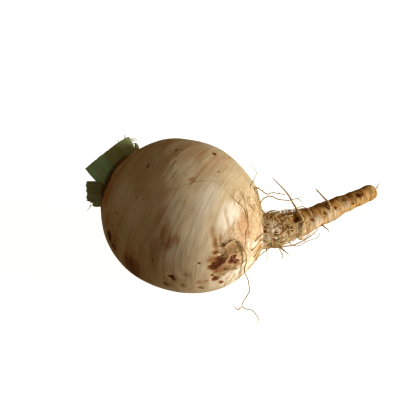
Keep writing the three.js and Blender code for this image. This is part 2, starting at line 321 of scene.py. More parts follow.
# whitish skin, and a painted highlight along the taproot's lower near side: distance, degrees, size, stretch
# round the root, how pale
paleSkinAndPaintedHighlight = [
    (112, 48, 5.5, 1.6, 0.75), (110, 70, 4.5, 1.6, 0.75), (60, 42, 11, 1.7, 0.4),
    (50, 62, 11, 1.7, 0.35), (66, 62, 8, 1.6, 0.3), (30, 42, 7, 1.8, 0.65), (40, 47, 7, 1.8, 0.65),
    (76, 24, 8, 2, 0.6), (75, 50, 8, 2, 0.55), (54, 12, 5, 1.5, 0.3), (88, 30, 6, 1.8, 0.8),
    (100, 60, 2.2, 2.4, 0.8), (101.5, 86, 2.8, 2.2, 0.6), (101, 104, 3.6, 2.4, 1), (94, 98, 3.6, 2, 0.9),
    (91, 108, 4.5, 2, 0.8), (83, 104, 5, 1.6, 0.5), (66, 76, 7, 2, 0.45), (108, 78, 3, 2, 0.5),
    # from 118 mm to 166 mm: a painted highlight along the taproot's lower near side
    (104, 66, 2.6, 1.4, 0.6), (118, 92, 6, 1.4, 0.4), (130, 82, 7, 1, 0.45), (142, 74, 7, 1, 0.45),
    (154, 72, 7, 1, 0.4), (166, 70, 6, 1, 0.3), (50, 200, 8, 2, 0.5), (76, 280, 8, 2, 0.5),
]
# soft creases that run down to the wound: (distance, degrees) points, width, depth, how rusty; that rust
# share is painted shade in the folds
creases = [
    ([(81, 45), (83, 52), (84.5, 58), (85.5, 66)], 1.5, 0.25, 0.8),
    ([(86, 50), (86.8, 56), (88, 62)], 1.0, 0.18, 0.7),
    ([(86, 26), (87.5, 33), (89.5, 40), (90.5, 48), (91, 55)], 1.0, 0.2, 0.55),
    ([(91.5, 32), (93.5, 38), (95, 45), (96, 51)], 1.0, 0.2, 0.6),
    ([(88.5, 65), (88.8, 59), (91, 55), (93.5, 52.5), (96, 55.5)], 0.7, 0.12, 0.7),
]
pits = {"count": 85, "from": 103, "to": 188, "size": (0.35, 0.9), "depth": (0.1, 0.45)}  # scattered, unnamed


def ringLean(distance):  # the skin's growth rings lean on the bulb and straighten at both ends
    return body["streakTilt"] * smooth(distance, 10, 50) * (1 - smooth(distance, 88, 104))


def skinRelief(distance, spot):
    onBulb = 1 - smooth(distance, 92, 108)
    onTaproot = smooth(distance, 104, 118)
    offset = body["unevenness"] * onBulb * noise.noise(spot / 24)
    offset += 0.16 * noise.noise(spot / 7)
    leaned = distance - ringLean(distance) * spot.y
    offset += 0.07 * onBulb * noise.noise(Vector((leaned / 1.5, spot.y / 20, spot.z / 20)))
    # wrinkles round the taproot: narrow grooves of uneven depth
    wave = noise.noise(Vector((distance / 2.3 + 0.5 * noise.noise(spot / 5), spot.y / 13, spot.z / 13)))
    fine = noise.noise(Vector((distance / 1.1, spot.y / 9 + 7, spot.z / 9)))
    groove = max(0, 1 - abs(wave) / 0.28)
    depth = 0.5 + 0.8 * max(0, noise.noise(spot / 9 + Vector((5, 0, 0))) + 0.4)
    offset -= body["taprootRings"] * depth * onTaproot * groove * groove
    offset += 0.16 * onTaproot * fine
    offset += body["taprootLumps"] * smooth(distance, 100, 114) * noise.noise(spot / 6.5 + Vector((3, 1, 8)))
    # folds that run out of the bulb on to the neck
    onNeck = smooth(distance, 93, 104) * (1 - smooth(distance, 116, 126))
    fold = noise.noise(Vector((distance / 9, spot.y / 2.4, spot.z / 2.4)))
    offset += body["neckFolds"] * onNeck * fold
    offset += 0.3 * onNeck * noise.noise(spot / 2.1)
    # leaf scars round the crown
    onCrown = 1 - smooth(distance, 9, 17)
    offset += 0.35 * onCrown * math.sin(distance * 2.2 + 1.2 * noise.noise(spot / 6)) * smooth(distance, 5, 7)
    offset += 0.3 * onCrown * noise.noise(spot / 2)
    return offset


def allMarks():
    found = list(marks)
    found += [(*where, 0, 0, rust, 0) for *where, rust in rustStains]
    found += [(*where, 0, 0, 0, pale) for *where, pale in paleSkinAndPaintedHighlight]
    # each crease's rust share darkens it as painted shade in the fold
    for route, width, depth, rust in creases:
        for (start, startDegrees), (end, endDegrees) in zip(route, route[1:]):
            for i in range(5):
                t = i / 5
                distance = start + (end - start) * t
                degrees = startDegrees + (endDegrees - startDegrees) * t
                found.append((distance, degrees, width, 1, depth, 0, rust, 0))
    for i in range(pits["count"]):
        found.append((random.uniform(pits["from"], pits["to"]), random.uniform(0, 360),
                      random.uniform(*pits["size"]), random.uniform(1, 2.2),
                      random.uniform(*pits["depth"]), random.uniform(0, 0.5),
                      random.uniform(0.2, 0.9), 0))
    return found


def marksByRow():
    rows = {}
    for distance, degrees, size, stretch, depth, dark, rust, pale in allMarks():
        centre = straightSpot(distance, degrees)
        centre.x -= ringLean(distance) * centre.y
        reach = 2.6 * size
        for row in range(int(centre.x - reach) - 1, int(centre.x + reach) + 2):
            rows.setdefault(row, []).append((centre, size, stretch, depth, dark, rust, pale))
    return rows


def readMarks(leaned, rows):  # depth of the skin and its dark, rusty and pale shares at a spot
    depth = dark = rust = pale = 0
    warp = noise.noise_vector(leaned / 1.5) * 0.5 + noise.noise_vector(leaned / 4.5) * 0.45
    for centre, size, stretch, deep, darkness, rustiness, paleness in rows.get(int(leaned.x), ()):
        across = (leaned - centre) / size
        across.y /= stretch
        across.z /= stretch
        if across.length_squared > 6.5:
            continue
        reach = (across + warp * min(1, 1.6 / size)).length
        if deep > 0:
            depth = max(depth, deep * math.exp(-reach * reach * 1.1))
        elif deep < 0:
            depth += deep * math.exp(-reach * reach)
        dark = max(dark, darkness * (1 - smooth(reach, 0.5, 1.25)))
        rust = max(rust, rustiness * (1 - smooth(reach, 0.35, 1.75)))
        pale = max(pale, paleness * (1 - smooth(reach, 0.35, 1.6)))
    return depth, (dark, rust, pale, 1)


def outlinePoints():
    points = [Vector((shape["crownStart"], 0, 0))]
    start = shape["crownStart"]
    for end, rows in body["rows"]:
        for row in range(1, rows + 1):
            distance = start + (end - start) * row / rows
            last = end == shape["rootEnd"] and row == rows
            points.append(Vector((distance, 0, 0 if last else rootRadius(distance))))
        start = end
    return points


def makeBody(material):
    bm = bmesh.new()
    outline = [bm.verts.new(point) for point in outlinePoints()]
    edges = [bm.edges.new(pair) for pair in zip(outline, outline[1:])]
    bmesh.ops.spin(bm, geom=outline + edges, cent=(0, 0, 0), axis=(1, 0, 0), angle=2 * math.pi,
                   steps=body["sides"], use_merge=True, use_duplicate=False)
    bmesh.ops.remove_doubles(bm, verts=bm.verts, dist=1e-4)
    bmesh.ops.triangulate(bm, faces=[face for face in bm.faces if len(face.verts) > 4])
    rows = marksByRow()
    spots = []
    stains = []
    for vert in bm.verts:
        spot = vert.co.copy()
        away = math.hypot(spot.y, spot.z)
        ends = min(1, away / 4)
        leaned = Vector((spot.x - ringLean(spot.x) * spot.y, spot.y, spot.z))
        depth, stain = readMarks(leaned, rows)
        offset = ends * (skinRelief(spot.x, spot) - depth)
        scale = (away + offset) / away if away > 1e-6 else 1
        bent = place(spot.x, spot.z * scale, -spot.y * scale)
        bent.z = max(0, bent.z)
        vert.co = bent * mm
        spots.append(leaned)
        stains.append(stain)
    piece = finishPiece("root_body", bm, material, ["turnip_root"], spots, "straight")
    colours = piece.data.attributes.new("stains", "FLOAT_COLOR", "POINT")
    colours.data.foreach_set("color", [c for stain in stains for c in stain])
    return piece


# Living turnip skin: a thin waxy cork over white flesh, so it is ivory with a soft shine,
# drawn out in fine rings, stained with soil, and corky brown on the neck and taproot.
skin = {
    "ivory": "#ebd9bb",
    "cream": "#dac094",
    "stain": "#a77a40",
    "ringLight": "#f9efdc",
    "rust": "#b8721e",
    "rustDeep": "#86460a",
    "scab": "#7c3e06",
    "soil": "#461600",
    "taproot": "#c09756",
    "taprootPale": "#dfbd86",
    "taprootDark": "#4f2f13",
    # near-black brown: painted shade on the skin under the stalk feet
    "crown": "#43230f",
    "patch": "#fcf3e2",
    "fleck": "#6b3f19",
    "roughness": 0.47,
    "ior": 1.34,
    "patterns": {
        "fine": (0.9, (18, 18), 0, 3, 0.6),  # the finest rings lie 0.9 mm apart
        "middling": (3.2, (11, 11), 3.1, 3, 0.6),
        "broad": (22, (1.6, 1.6), 1.7, 4, 0.55),
        "patchy": (9, (1.4, 1.4), 9.3, 5, 0.65),
        "grit": (1.6, (1, 1), 5.2, 4, 0.7),
        "wrinkles": (1.5, (6, 6), 2.2, 4, 0.65),
    },
}


def rootSkinMaterial():
    material, tree = newMaterial("waxy_turnip_skin")
    straight = addNode(tree, "Attribute", {"attribute_name": "straight"}, {}, 1)
    stains = addNode(tree, "Attribute", {"attribute_name": "stains"}, {}, 0)
    distance = addNode(tree, "SeparateXYZ", {}, {0: straight})
    masks = {"distance": distance}
    for index, name in enumerate(("dark", "rust", "pale")):
        masks[name] = addNode(tree, "SeparateColor", {}, {0: stains}, index)
    # where each part of the root begins and ends, in mm along it
    for name, low, high in (("onTaproot", 99, 113), ("neckStart", 86, 102), ("neckEnd", 124, 108),
                            ("onCrown", 26, 12), ("shadeUnderStalks", 14, 9.5), ("flecked", 92, 30)):
        masks[name] = addNode(tree, "MapRange", softStep, {0: distance, 1: low, 2: high})
    masks["onNeck"] = addNode(tree, "Math", times, {0: masks["neckStart"], 1: masks["neckEnd"]})
    # scattered flecks: a few of the cells of a ragged honeycomb
    cells = {"Vector": straight, "Scale": 0.42, "Randomness": 1.0}
    nearCell = addNode(tree, "TexVoronoi", {}, cells, "Distance")
    cellColour = addNode(tree, "TexVoronoi", {}, cells, "Color")
    chosen = addNode(tree, "MapRange", softStep, {
        0: addNode(tree, "SeparateColor", {}, {0: cellColour}), 1: 0.72, 2: 0.8})
    nearChosen = addNode(tree, "Math", times, {0: chosen, 1: masks["flecked"]})
    masks["fleck"] = addNode(tree, "Math", times, {
        0: addNode(tree, "MapRange", softStep, {0: nearCell, 1: 0.24, 2: 0.1}), 1: nearChosen})

    skinLayers = [
        ("broad", 0.35, 0.62, 0.75, skin["cream"], None),
        ("patchy", 0.52, 0.74, 0.3, skin["stain"], None),
        ("middling", 0.48, 0.72, 0.42, skin["stain"], None),
        ("fine", 0.52, 0.72, 0.34, skin["ringLight"], None),
        ("fine", 0.46, 0.28, 0.3, skin["stain"], None),
        ("grit", 0.4, 0.62, 0.6, skin["stain"], "onNeck"),
        ("patchy", 0.25, 0.6, 0.8, skin["rust"], "onCrown"),
        # painted shade: the skin under the stalk feet turns near-black brown
        ("grit", 0.2, 0.5, 1, skin["crown"], "shadeUnderStalks"),
    ]
    colour, made = paintLayers(tree, straight, skin["ivory"], skin["patterns"], skinLayers, masks)
    corkLayers = [
        ("broad", 0.45, 0.65, 0.35, skin["taprootPale"], None),
        ("wrinkles", 0.55, 0.36, 0.8, skin["taprootDark"], None),
        ("grit", 0.48, 0.72, 0.5, skin["taprootDark"], None),
    ]
    masks.update(made)
    cork, _ = paintLayers(tree, straight, skin["taproot"], {}, corkLayers, masks)
    colour = addNode(tree, "Mix", colourMix, {0: masks["onTaproot"], 6: colour, 7: cork}, 2)
    # the marks' edges fray along the rings
    frayed = addNode(tree, "Math", plus, {0: made["fine"], 1: made["middling"]})
    frayed = addNode(tree, "Math", {"operation": "SUBTRACT"}, {0: frayed, 1: 1.0})
    for name, amount in (("dark", 0.5), ("rust", 0.8), ("pale", 1.0)):
        seen = addNode(tree, "MapRange", softStep, {0: masks[name], 1: 0.02, 2: 0.25, 4: amount})
        moved = addNode(tree, "Math", times, {0: frayed, 1: seen})
        masks[name] = addNode(tree, "Math", plus, {0: masks[name], 1: moved})
    markLayers = [
        # whitish skin, and a painted highlight along the taproot's lower near side
        ("pale", 0.1, 0.95, 0.75, skin["patch"], None),
        # rust stains, and painted shade in the creases and along the top of the taproot
        ("rust", 0.1, 0.95, 0.6, skin["rust"], None),
        ("rust", 0.6, 1.15, 0.75, skin["rustDeep"], None),
        ("dark", 0.1, 0.55, 0.9, skin["scab"], None),
        ("dark", 0.45, 1, 0.9, skin["soil"], None),
        ("grit", 0.46, 0.7, 0.6, skin["rustDeep"], "dark"),
        ("fleck", 0.1, 0.6, 0.8, skin["fleck"], None),
    ]
    colour, _ = paintLayers(tree, straight, colour, {}, markLayers, masks)

    rough = addNode(tree, "MapRange", softStep, {
        0: made["patchy"], 1: 0.3, 2: 0.7, 3: skin["roughness"] - 0.08, 4: skin["roughness"] + 0.12})
    for name, amount in (("onTaproot", 0.25), ("dark", 0.4)):
        rough = addNode(tree, "Math", timesThenPlus, {0: masks[name], 1: amount, 2: rough})
    height = addNode(tree, "Math", times, {0: made["wrinkles"], 1: masks["onTaproot"]})
    for name, amount in (("fine", 0.5), ("grit", 0.35)):
        height = addNode(tree, "Math", timesThenPlus, {0: made[name], 1: amount, 2: height})
    bump = addNode(tree, "Bump", {}, {"Height": height, "Strength": 0.5, "Distance": 0.35 * mm})
    shader = addNode(tree, "BsdfPrincipled", {}, {
        "Base Color": colour, "Roughness": rough, "Normal": bump, "IOR": skin["ior"],
        "Subsurface Weight": 0.08, "Subsurface Scale": 1.5 * mm, "Subsurface Radius": (1.0, 0.6, 0.35)})
    addNode(tree, "OutputMaterial", {}, {"Surface": shader})
    return material


rootBody = makeBody(rootSkinMaterial())
print("root body", len(rootBody.data.polygons))

stalks = {
    "sides": 56,
    "rows": 16,
    "ragged": 0.9,  # how uneven the cut is, mm
    "ribs": 0.12,
    "cutFace": [(0.93, 0.0), (0.8, -0.035), (0.5, -0.06), (0.2, -0.05)],  # rings of the hollowed cut
    "outer": {"radius": 16.6, "thickness": 4.4, "lean": 8.4},
    "inner": {"radius": 7.5, "thickness": 3.4, "lean": 1.5},
    "knifePoint": (-51.7, 30.7, 75.5),  # one straight cut takes the ends of the first two
    "knifeNormal": (-0.625, 0.58, 0.5225),
    "knifed": ("leaf_stalk_1", "leaf_stalk_2"),
    # name: ring, foot degrees, cut degrees, heights at the two edges, tint
    "pieces": {
        "leaf_stalk_1": ("outer", (-72, 26), (-84, 15), (17.5, 21), "yellow"),
        "leaf_stalk_2": ("outer", (21, 78), (9, 49), (21, 19), "blue"),
        "leaf_stalk_3": ("outer", (58, 117), (67, 114), (9.8, 8.4), "grey"),
        "leaf_stalk_4": ("outer", (121, 160), (118, 158), (9, 11), "yellow"),
        "leaf_stalk_5": ("outer", (163, 205), (162, 207), (12, 10), "grey"),
        "leaf_stalk_6": ("outer", (208, 252), (211, 250), (10, 12.5), "blue"),
        "leaf_stalk_7": ("outer", (255, 301), (254, 297), (13, 11), "yellow"),
        "young_stalk_1": ("inner", (-20, 80), (-16, 76), (8, 9), "young"),
        "young_stalk_2": ("inner", (100, 200), (104, 196), (8.5, 7), "young"),
        "young_stalk_3": ("inner", (220, 320), (224, 316), (7.5, 8.5), "young"),
    },
    "fibreTips": [  # torn fibres: radius, points in mm
        (0.45, [(-37.7, 49.3, 69), (-37.6, 51.2, 70.8), (-38, 52.7, 72.2)]),
        (0.35, [(-41.3, 44, 71.4), (-41.5, 45.6, 73), (-41.8, 46.2, 73.6)]),
        (0.3, [(-34, 59.6, 60.4), (-31.6, 60.4, 61), (-29.6, 60.2, 60)]),
        (0.26, [(-33.6, 60.8, 58), (-31, 61, 58.6), (-28.6, 60, 57.4)]),
        (0.26, [(-33.2, 60.6, 55.6), (-30.8, 60, 56), (-28.8, 58.6, 55.4)]),
        (0.28, [(-61, 17.8, 40.8), (-62.8, 15.8, 38.8), (-64.2, 14.6, 37.6)]),
    ],
    "bloom": "#c2cec6",
    "fibre": "#4f6a3c",
    "dried": "#4a2d14",
    # tint: slot, skin colour, foot colour, cut colour
    "tints": {
        "yellow": ("stalk_yellow_green", "#aec27e", "#b2b266", "#c8d2a4"),
        "blue": ("stalk_blue_green", "#b4f4d8", "#a8da84", "#d0f8e0"),
        "grey": ("stalk_grey_green", "#9cb08c", "#9c9c6a", "#b4bea4"),
        "young": ("stalk_young", "#a3a85f", "#c2b984", "#cfcf9a"),
    },
}


def domeDistance(radius):
    fraction = min(1, radius / shape["crownRadius"])
    return shape["crownStart"] + shape["domeHeight"] * (1 - math.sqrt(1 - fraction ** 2))


def stalkPlace(stalk, ring, x, rise, z):
    foot, cut, heights = stalk
    across = (1 - x) / 2
    angle = math.radians((1 - rise) * (foot[0] + (foot[1] - foot[0]) * across)
                         + rise * (cut[0] + (cut[1] - cut[0]) * across))
    footRadius = ring["radius"] + z * ring["thickness"] / 2
    away = footRadius + ring["lean"] * rise
    height = heights[0] + (heights[1] - heights[0]) * across
    distance = domeDistance(footRadius) + 0.6 * (1 - rise) - rise * height
    return place(distance, away * math.cos(angle), away * math.sin(angle))


def makeStalk(name, material, number):
    ringName, foot, cut, heights, tint = stalks["pieces"][name]
    ring = stalks[ringName]
    bm = bmesh.new()
    circle = bmesh.ops.create_circle(bm, cap_ends=False, radius=1, segments=stalks["sides"])["verts"]
    width = math.radians(foot[1] - foot[0]) * (ring["radius"] + 3)
    tall = sum(heights) / 2
    local = {}
    loop = circle
    for vert in circle:
        x = vert.co.x
        edge = max(0, 1 - abs(x) ** 3) ** 0.5  # a strap of even thickness with rounded edges
        local[vert] = (x, 0.0, math.copysign(edge, vert.co.y) if abs(vert.co.y) > 1e-6 else 0.0)
    base = [local[vert] for vert in circle]

    def extrudeLoop(loop, levels):
        loopSet = set(loop)
        edges = [edge for edge in bm.edges if edge.verts[0] in loopSet and edge.verts[1] in loopSet]
        made = bmesh.ops.extrude_edge_only(bm, edges=edges)["geom"]
        fresh = [item for item in made if isinstance(item, bmesh.types.BMVert)]
        ordered = []
        for old in loop:
            match = next(v for v in fresh if v not in local and (v.co - old.co).length < 1e-7)
            local[match] = levels[len(ordered)]
            ordered.append(match)
        return ordered

    for row in range(1, stalks["rows"] + 1):
        rise = row / stalks["rows"]
        loop = extrudeLoop(loop, [(x, rise, z) for x, _, z in base])
    for shrink, sink in stalks["cutFace"]:
        loop = extrudeLoop(loop, [(x * (1 - (1 - shrink) * 0.3), 1 + sink, z * shrink) for x, _, z in base])
    bmesh.ops.contextual_create(bm, geom=loop)
    bmesh.ops.contextual_create(bm, geom=circle)
    bmesh.ops.triangulate(bm, faces=[face for face in bm.faces if len(face.verts) > 4])
    spots = []
    bm.verts.ensure_lookup_table()
    for vert in bm.verts:
        x, rise, z = local[vert]
        spot = Vector((x * width / 2, rise * tall, z * ring["thickness"] / 2))
        cutNoise = noise.noise(Vector((spot.x / 1.6, number * 3.3, 0)))
        cutNoise += 0.6 * noise.noise(Vector((spot.x / 0.5, 9, number)))
        raggedRise = rise + stalks["ragged"] * cutNoise / tall * smooth(rise, 0.8, 1)
        rib = stalks["ribs"] * noise.noise(Vector((spot.x / 0.9, number, spot.y / 14)))
        rib += 0.35 * noise.noise(Vector((spot.x / 6, number * 5, spot.y / 8)))
        thin = 1 - 0.25 * rise + 2 * rib / ring["thickness"]
        point = stalkPlace((foot, cut, heights), ring, x, raggedRise, z * thin)
        if name in stalks["knifed"]:
            over = (point - Vector(stalks["knifePoint"])).dot(Vector(stalks["knifeNormal"])) - 0.35 * cutNoise
            if over > 0:
                point -= Vector(stalks["knifeNormal"]) * over
        vert.co = point * mm
        spots.append((spot.x, spot.y, spot.z))
    return finishPiece(name + "_stub", bm, material, [name], spots)


# Cut turnip leaf stalk: a smooth waxy green sheath, faintly ribbed along its fibres, and wet pale flesh
# where the knife went through, drying brown at the edge.
def stalkMaterial(tint):
    slotName, green, footColour, cutColour = stalks["tints"][tint]
    material, tree = newMaterial("cut_leaf_stalk_" + tint)
    spot = addNode(tree, "Attribute", {"attribute_name": "spots"}, {}, 1)
    masks = {"rise": addNode(tree, "SeparateXYZ", {}, {0: spot}, 1)}
    masks["lowEnd"] = addNode(tree, "MapRange", softStep, {0: masks["rise"], 1: 3.2, 2: 0.4})
    patterns = {
        "ribs": (0.7, (22, 4), 0, 2, 0.5),
        "cloudy": (5, (1.6, 1), 4.4, 3, 0.5),
        "grit": (0.8, (1, 1), 2, 3, 0.6),
        "bloom": (3.4, (7, 1), 7.7, 3, 0.55),
    }
    layers = [
        ("rise", 9, 1, 0.7, footColour, None),
        ("cloudy", 0.45, 0.7, 0.5, cutColour, None),
        ("bloom", 0.48, 0.66, 0.5, stalks["bloom"], None),
        ("ribs", 0.5, 0.68, 0.3, stalks["fibre"], None),
        ("grit", 0.25, 0.55, 1, stalks["dried"], "lowEnd"),
    ]
    colour, made = paintLayers(tree, spot, green, patterns, layers, masks)
    height = addNode(tree, "Math", timesThenPlus, {0: made["grit"], 1: 0.3, 2: made["ribs"]})
    bump = addNode(tree, "Bump", {}, {"Height": height, "Strength": 0.4, "Distance": 0.25 * mm})
    shader = addNode(tree, "BsdfPrincipled", {}, {
        "Base Color": colour, "Roughness": 0.42, "Normal": bump, "IOR": 1.4,
        "Subsurface Weight": 0.15, "Subsurface Scale": 2 * mm, "Subsurface Radius": (0.6, 1.0, 0.3)})
    addNode(tree, "OutputMaterial", {}, {"Surface": shader})
    return material


stalkMaterials = {tint: stalkMaterial(tint) for tint in stalks["tints"]}
for number, name in enumerate(stalks["pieces"]):
    makeStalk(name, stalkMaterials[stalks["pieces"][name][4]], number)
print("leaf stalks cut")

sideRoots = {
    "sides": 6,
    "step": 0.9,  # mm between the rings of a root
    "wobble": 0.28,
    "straw": "#c4a46c",
    "dark": "#5f4424",
    "pale": "#d9c18c",
    "goldStraw": "#e6cb94",
    "goldDark": "#a97f42",
    "goldPale": "#f5e4bc",
}
# roots that lie on the skin: radius at the start and end, lift, (distance, degrees) points
lyingRoots = {
    "hair_over_bulb": (0.06, 0.24, 0.08, [
        (54.5, 25), (57.5, 25), (59, 23), (64, 17), (68.5, 12), (73, 9), (76, 7), (79.5, 7), (84.5, 10),
        (92.5, 16), (96, 18), (98, 24), (99, 34)]),
    "hair_down_shoulder": (0.16, 0.22, 0.3, [
        (92, 2), (96, 9), (97.5, 16), (99, 24), (100, 36), (99.5, 48), (100, 61), (99.5, 70)]),
    "neck_root_1": (0.5, 0.35, 0.7, [(104, 60), (109, 50), (115, 62), (121, 48), (127, 58)]),
    "neck_root_2": (0.5, 0.35, 0.7, [(104, 92), (110, 80), (117, 94), (123, 80), (131, 90)]),
    "neck_root_3": (0.42, 0.29, 1.2, [(103, 74), (108, 66), (113, 78), (119, 70), (124, 84)]),
    "neck_root_4": (0.42, 0.29, 0.7, [(107, 24), (113, 36), (120, 26), (127, 36), (134, 28)]),
    "neck_root_5": (0.5, 0.35, 0.7, [(104, 205), (110, 220), (118, 208), (127, 224)]),
    "neck_root_6": (0.42, 0.29, 0.7, [(108, 275), (115, 290), (123, 278), (132, 286)]),
    "neck_root_7": (0.42, 0.29, 0.7, [(106, 140), (113, 152), (121, 140), (129, 150)]),
}
# roots that stand or hang free: radius at the foot, radius at the end, (x, y, z) points in mm
freeRoots = {
    "trailing_root": (0.5, 0.3, [
        (25.6, -45, 69.2), (29.6, -42.8, 70.6), (33.6, -41, 69.4), (37, -41.6, 64), (39, -42.2, 57.5),
        (39.4, -43, 51), (38.4, -43.6, 44), (40.5, -41, 33), (42.3, -38, 23), (43, -35.5, 10),
        (39.6, -36.9, 1.6), (38.4, -39.9, 0), (41, -42.3, 0), (44.6, -43.1, 0), (48.6, -50.9, 0),
        (46.6, -55.9, 0), (44, -58.3, 0)]),
    "trailing_root_fork": (0.36, 0.2, [
        (37.6, -40.9, 0), (35.8, -42.5, 0), (33.6, -40.5, 0), (32.6, -37.3, 0)]),
    "curled_hair": (0.3, 0.14, [(44, -2.5, 78.6), (47.3, 2.8, 82.7), (45.5, 6.1, 85.8), (43, 8, 87.5)]),
    "wavy_root_1": (0.5, 0.3, [(47, -1.9, 74.6), (51.2, -3.3, 72.8), (54.3, -4.8, 71.4), (58, -4.2, 72),
                               (62, -4.5, 71.7), (67, -5.4, 71)]),
    "wavy_root_2": (0.5, 0.25, [(50.2, -8, 67.4), (54.4, -4.4, 68.8), (57, -4.4, 69), (61.7, -6.4, 68),
                                (67, -7, 67.6), (74, -6.6, 68.2), (78, -9.2, 66)]),
    "stiff_root": (1.0, 0.3, [(77, -13.4, 56.4), (74, -8.8, 59.9), (71.4, -5.4, 63), (67.7, -0.6, 67.3),
                              (57.7, 7.7, 74.7)]),
    "short_stub_root": (0.8, 0.5, [(96.4, -2.8, 55.2), (95.2, 0, 57.2), (91.5, 3.5, 60), (87, 7, 63.3)]),
    "under_root_1": (0.55, 0.4, [(57, -27.4, 46.2), (60.4, -28, 46), (66, -27.6, 47), (69.4, -27.4, 47),
                                 (74.4, -25.8, 48), (80.3, -23.6, 50.2), (87.4, -19.6, 54.2)]),
    "under_root_2": (0.35, 0.25, [(69, -23.8, 45), (72.9, -25.2, 43.6), (80.7, -22.8, 46.2),
                                  (86.2, -21.6, 47.4), (89, -18.4, 50.6)]),
    "under_root_3": (0.75, 0.35, [(63.2, -26.6, 43.6), (64.8, -28.4, 43.4), (67.4, -30.5, 42)]),
    "under_root_4": (0.45, 0.25, [(62.6, -25.6, 41), (63.6, -28.6, 40.2), (64.2, -31, 38)]),
    "under_root_5": (0.4, 0.18, [(53.6, -27.4, 44), (53.9, -30.4, 41), (52.6, -33, 38.5)]),
    "under_root_6": (0.6, 0.3, [(92.3, -11.2, 46.2), (94.9, -12.8, 44.8), (95.6, -13.8, 43.4)]),
}


def curveThrough(points, step):  # centripetal Catmull-Rom, as even short steps
    padded = [points[0] * 2 - points[1]] + points + [points[-1] * 2 - points[-2]]
    line = []
    for a, b, c, d in zip(padded, padded[1:], padded[2:], padded[3:]):
        t0 = 0
        t1 = t0 + math.sqrt(max(1e-4, (b - a).length))
        t2 = t1 + math.sqrt(max(1e-4, (c - b).length))
        t3 = t2 + math.sqrt(max(1e-4, (d - c).length))
        count = max(2, round((c - b).length / step))
        for i in range(count):
            t = t1 + (t2 - t1) * i / count
            a1 = a * ((t1 - t) / (t1 - t0)) + b * ((t - t0) / (t1 - t0))
            a2 = b * ((t2 - t) / (t2 - t1)) + c * ((t - t1) / (t2 - t1))
            a3 = c * ((t3 - t) / (t3 - t2)) + d * ((t - t2) / (t3 - t2))
            b1 = a1 * ((t2 - t) / (t2 - t0)) + a2 * ((t - t0) / (t2 - t0))
            b2 = a2 * ((t3 - t) / (t3 - t1)) + a3 * ((t - t1) / (t3 - t1))
            line.append(b1 * ((t2 - t) / (t2 - t1)) + b2 * ((t - t1) / (t2 - t1)))
    return line + [points[-1].copy()]


def growTube(points, radii, sides):  # a closed tube along the points, in mm
    bm = bmesh.new()
    spots = {}
    circle = bmesh.ops.create_circle(bm, cap_ends=True, radius=1, segments=sides)["verts"]
    side = None
    travelled = 0.0
    tag = random.random() * 50
    for index, point in enumerate(points):
        ahead = points[min(index + 1, len(points) - 1)] - points[max(index - 1, 0)]
        ahead.normalize()
        if side is None:
            side = ahead.orthogonal().normalized()
        side = (side - ahead * side.dot(ahead)).normalized()
        other = ahead.cross(side)
        if index:
            edges = [edge for vert in circle for edge in vert.link_edges
                     if edge.other_vert(vert) in circle]
            made = bmesh.ops.extrude_edge_only(bm, edges=list(set(edges)))["geom"]
            fresh = {v for v in made if isinstance(v, bmesh.types.BMVert)}
            circle = [next(edge.other_vert(old) for edge in old.link_edges if edge.other_vert(old) in fresh)
                      for old in circle]
            travelled += (point - points[index - 1]).length
        for i, vert in enumerate(circle):
            angle = 2 * math.pi * i / sides
            reach = radii[index] * (1 + 0.22 * noise.noise(point * 1.3 + Vector((angle, tag, 0))))
            vert.co = (point + side * math.cos(angle) * reach + other * math.sin(angle) * reach) * mm
            spots[vert] = (travelled, radii[index] * 2, tag)
    bmesh.ops.contextual_create(bm, geom=circle)
    return bm, [spots[vert] for vert in bm.verts]


def sunkenStart(points):  # a point under the skin, so that a root grows out of it
    first = points[0]
    at = min(range(len(middleLine)), key=lambda i: (middleLine[i] - first).length)
    distance = at * shape["walkStep"]
    centre = place(distance, 0, 0)
    outward = (first - centre).normalized()
    return [centre + outward * (rootRadius(distance) - 0.8)] + points


def wobbled(points, amount, size):  # the first point stays
    moved = []
    for index, point in enumerate(points):
        shift = noise.noise_vector(point / size) * amount * min(1, index / 3)
        moved.append(point + shift)
    return moved


def pieceFromTubes(name, tubes, material, stands):
    bm = bmesh.new()
    spots = []
    joined = bpy.data.meshes.new("joined")
    for points, radii, sides in tubes:
        tube, tubeSpots = growTube(points, radii, sides)
        tube.to_mesh(joined)
        tube.free()
        bm.from_mesh(joined)
        spots += tubeSpots
    bpy.data.meshes.remove(joined)
    return finishPiece(name, bm, material, stands, spots)


def taper(count, start, end, flare=1.5):
    radii = []
    for i in range(count):
        t = i / max(1, count - 1)
        radius = start + (end - start) * t
        radius *= 1 + (flare - 1) * math.exp(-t * count / 3)  # swells or thins at the foot
        if t > 0.9:
            radius *= 1 - 0.6 * (t - 0.9) / 0.1
        radii.append(radius)
    return radii


# Dried side roots: thin woody cores in a papery straw coloured bark, dull and a little fuzzy.
def sideRootMaterial(name, straw, dark, pale):
    material, tree = newMaterial(name)
    spot = addNode(tree, "Attribute", {"attribute_name": "spots"}, {}, 1)
    patterns = {"bands": (2.4, (3, 1), 0, 4, 0.6), "cloudy": (11, (3, 1), 6.1, 2, 0.5)}
    layers = [("bands", 0.45, 0.7, 0.75, dark, None), ("cloudy", 0.5, 0.68, 0.7, pale, None)]
    colour, made = paintLayers(tree, spot, straw, patterns, layers, {})
    bump = addNode(tree, "Bump", {}, {"Height": made["bands"], "Strength": 0.5, "Distance": 0.2 * mm})
    shader = addNode(tree, "BsdfPrincipled", {}, {
        "Base Color": colour, "Roughness": 0.7, "Normal": bump, "IOR": 1.45})
    addNode(tree, "OutputMaterial", {}, {"Surface": shader})
    return material


strawMaterial = sideRootMaterial("dried_side_root", sideRoots["straw"], sideRoots["dark"], sideRoots["pale"])
goldMaterial = sideRootMaterial("golden_root_hair", sideRoots["goldStraw"], sideRoots["goldDark"],
                                sideRoots["goldPale"])

